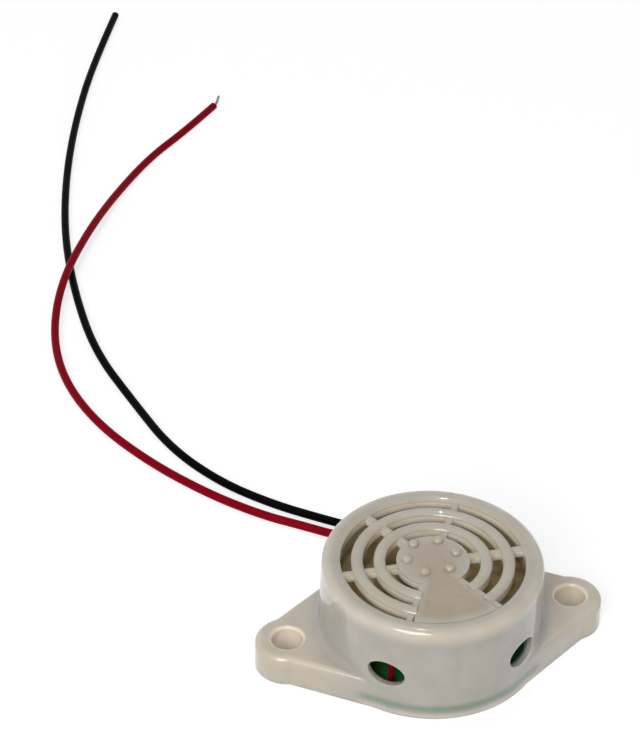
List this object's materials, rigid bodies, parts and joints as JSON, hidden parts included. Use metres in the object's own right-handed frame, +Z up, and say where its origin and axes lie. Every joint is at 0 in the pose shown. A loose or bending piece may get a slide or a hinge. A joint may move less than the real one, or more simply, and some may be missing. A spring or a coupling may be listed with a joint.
{
  "type": "piezo buzzer",
  "caption": "Round off-white buzzer housing with a ring-slot grille, two screw ears, side vents over a green circuit board, and a red and a black lead.",
  "frame": {"origin": "bottom centre of the housing, on the surface that it is screwed to", "axes": "+Z up out of the grille, +X through the two ears, the leads leave at +Y"},
  "size_m": [0.0641, 0.19, 0.0152],
  "materials": {
    "housing_plastic": "smooth, slightly translucent off-white moulding, soft gloss",
    "board": "green solder mask over glass-epoxy laminate",
    "copper": "bare etched copper, satin",
    "solder": "bright tin solder",
    "hot_melt": "milky hot-melt adhesive",
    "brass": "rolled brass, satin",
    "piezo_ceramic": "fired piezo ceramic, matt",
    "silver": "fired silver, satin",
    "silicone": "translucent silicone adhesive",
    "wire_red": "soft vinyl insulation, satin",
    "wire_black": "soft vinyl insulation, satin",
    "wire_blue": "soft vinyl insulation, satin",
    "resistor_coat": "tan lacquer with colour bands",
    "tinned_wire": "tinned copper",
    "diode_glass": "orange glass body",
    "diode_band": "black band",
    "transistor_case": "black moulded epoxy",
    "choke_sleeve": "black shrink sleeve",
    "capacitor_coat": "ochre dipped coat"
  },
  "bodies": {
    "root": {"housing": "housing_plastic", "circuit_board": "board", "board_copper": "copper", "board_solder": "solder", "board_glue": "hot_melt", "diaphragm": "brass", "ceramic_disc": "piezo_ceramic", "feedback_electrode": "silver", "main_electrode": "silver", "diaphragm_glue": "silicone", "element_solder": "solder", "element_wire_red": "wire_red", "element_wire_blue": "wire_blue", "element_wire_black": "wire_black", "resistor_1": "resistor_coat", "resistor_2": "resistor_coat", "resistor_3": "resistor_coat", "resistor_leads_1": "tinned_wire", "resistor_leads_2": "tinned_wire", "resistor_leads_3": "tinned_wire", "diode": "diode_glass", "diode_band": "diode_band", "diode_leads": "tinned_wire", "transistor": "transistor_case", "transistor_legs": "tinned_wire", "choke": "choke_sleeve", "choke_legs": "tinned_wire", "capacitor": "capacitor_coat", "capacitor_legs": "tinned_wire", "lead_red": "wire_red", "lead_black": "wire_black", "lead_red_tip": "tinned_wire", "wire_tails": "tinned_wire", "lead_sealant": "hot_melt"}
  },
  "joints": []
}
